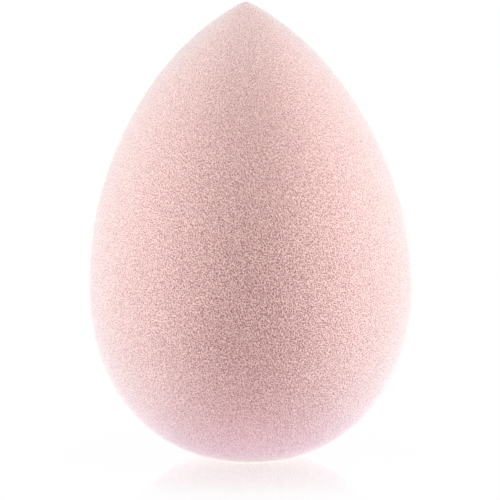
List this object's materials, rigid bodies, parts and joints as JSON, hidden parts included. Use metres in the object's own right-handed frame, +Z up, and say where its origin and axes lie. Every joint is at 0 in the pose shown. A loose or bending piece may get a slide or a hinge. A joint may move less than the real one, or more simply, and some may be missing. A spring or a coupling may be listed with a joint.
{
  "type": "makeup sponge",
  "caption": "Teardrop makeup sponge of soft open-celled foam, with a broad round base for blending, a pointed tip for small areas, and a small flat to stand on.",
  "frame": {"origin": "centre of the small flat on which the sponge stands", "axes": "+Z up along the axis of symmetry, from the base to the tip; X and Y level, and alike because the form is round"},
  "size_m": [0.0418, 0.0418, 0.06],
  "materials": {
    "foam": "matte"
  },
  "bodies": {
    "root": {"sponge_body": "foam"}
  },
  "joints": []
}
